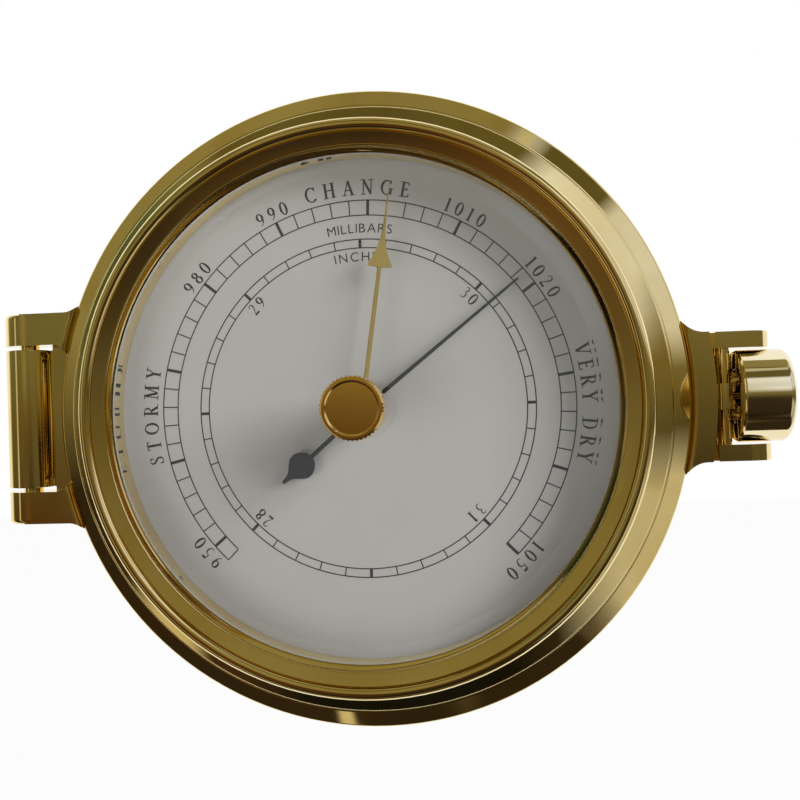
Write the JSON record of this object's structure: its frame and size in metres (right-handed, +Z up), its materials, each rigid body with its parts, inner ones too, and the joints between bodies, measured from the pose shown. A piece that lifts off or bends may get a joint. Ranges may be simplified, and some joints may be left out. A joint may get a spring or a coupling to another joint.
{
  "type": "marine barometer",
  "caption": "Round porthole-style aneroid barometer for a wall: brass case, hinged glazed front with a side latch, printed pressure dial, pressure hand and set hand.",
  "frame": {"origin": "centre of the case's back, in the plane of the wall", "axes": "+Z up, +X to the viewer's right, -Y out of the wall towards the viewer"},
  "size_m": [0.164, 0.0502, 0.1316],
  "materials": {
    "brass": "polished and lacquered, a little tarnished",
    "movement_brass": "satin",
    "hand_brass": "satin",
    "pin_steel": "bright",
    "screw_steel": "bright",
    "blued_steel": "satin black",
    "drum_aluminium": "spun",
    "dial_enamel": "matt white with dark grey print",
    "capsule_metal": "satin",
    "clear_glass": "clear, polished",
    "black_rubber": "matt"
  },
  "bodies": {
    "case": {"case_body": "brass", "hinge_arm": "brass", "latch_fork": "brass", "hinge_pin": "pin_steel", "latch_pin": "brass", "movement_drum": "drum_aluminium", "drum_screws": "screw_steel", "dial_plate": "dial_enamel", "base_plate": "movement_brass", "capsule_bed": "screw_steel", "bed_screw": "screw_steel", "pillars": "movement_brass", "lower_plate": "movement_brass", "spacers": "movement_brass", "upper_plate": "movement_brass", "plate_screws": "screw_steel", "dial_posts": "movement_brass", "shaft_brackets": "movement_brass", "aneroid_capsule": "capsule_metal", "hairspring_stud": "movement_brass"},
    "front": {"bezel_ring": "brass", "glass": "clear_glass", "glass_gasket": "black_rubber", "retaining_ring": "brass", "spindle_bush": "brass", "bush_nut": "brass"},
    "set_knob": {"set_knob": "brass", "set_spindle": "screw_steel", "spring_washer": "screw_steel", "set_hand": "hand_brass"},
    "pointer": {"pointer_arbor": "screw_steel", "pinion": "screw_steel", "hairspring": "blued_steel", "hairspring_collet": "movement_brass", "pressure_hand": "blued_steel", "hand_boss": "blued_steel"},
    "sector": {"toothed_sector": "movement_brass", "sector_arbor": "screw_steel"},
    "rocker": {"rocking_shaft": "screw_steel", "short_lever": "movement_brass", "long_lever": "movement_brass"},
    "link": {"sector_link": "screw_steel"},
    "post": {"capsule_post": "movement_brass"},
    "adjuster": {"adjusting_screw": "screw_steel"},
    "bolt": {"swing_bolt": "brass"},
    "nut": {"locking_nut": "brass"}
  },
  "joints": [
    {"name": "bezel_hinge", "type": "hinge", "parent": "case", "child": "front", "pos_m": [-0.0743, -0.0263, 0], "axis": [0, 0, -1], "range_deg": [0, 120]},
    {"name": "set_knob_turn", "type": "hinge", "parent": "front", "child": "set_knob", "pos_m": [0, -0.045, 0], "axis": [0, 1, 0], "continuous": true},
    {"name": "latch_swing", "type": "hinge", "parent": "case", "child": "bolt", "pos_m": [0.0731, -0.0263, 0], "axis": [0, 0, -1], "range_deg": [0, 90]},
    {"name": "nut_travel", "type": "slide", "parent": "bolt", "child": "nut", "axis": [1, 0, 0], "range_m": [0, 0.0034]},
    {"name": "pressure_hand_turn", "type": "hinge", "parent": "case", "child": "pointer", "pos_m": [0, -0.03, 0], "axis": [0, 1, 0], "range_deg": [-187, 84], "deforming": ["hairspring"]},
    {"name": "sector_turn", "type": "hinge", "parent": "case", "child": "sector", "pos_m": [0, -0.0225, -0.0176], "axis": [0, 1, 0], "range_deg": [-8.5, 18.8]},
    {"name": "lever_rock", "type": "hinge", "parent": "case", "child": "rocker", "pos_m": [0, -0.0154, -0.003], "axis": [1, 0, 0], "range_deg": [-3.6, 7.9]},
    {"name": "link_slide", "type": "slide", "parent": "case", "child": "link", "axis": [0, 0, 1], "range_m": [-0.00083, 0.00038]},
    {"name": "capsule_post_slide", "type": "slide", "parent": "case", "child": "post", "axis": [0, -1, 0], "range_m": [-0.00019, 0.00042], "deforming": ["aneroid_capsule"]},
    {"name": "adjusting_screw_turn", "type": "hinge", "parent": "case", "child": "adjuster", "pos_m": [0.028, -0.003, 0], "axis": [0, 1, 0], "range_deg": [-180, 180]}
  ],
  "couplings": [
    {"joint": "nut_travel", "follows": "latch_swing", "m_per_rad": 0.0021008},
    {"joint": "sector_turn", "follows": "pressure_hand_turn", "ratio": -0.1},
    {"joint": "lever_rock", "follows": "pressure_hand_turn", "ratio": -0.041667},
    {"joint": "link_slide", "follows": "pressure_hand_turn", "m_per_rad": 0.00025},
    {"joint": "capsule_post_slide", "follows": "pressure_hand_turn", "m_per_rad": -0.000125}
  ]
}
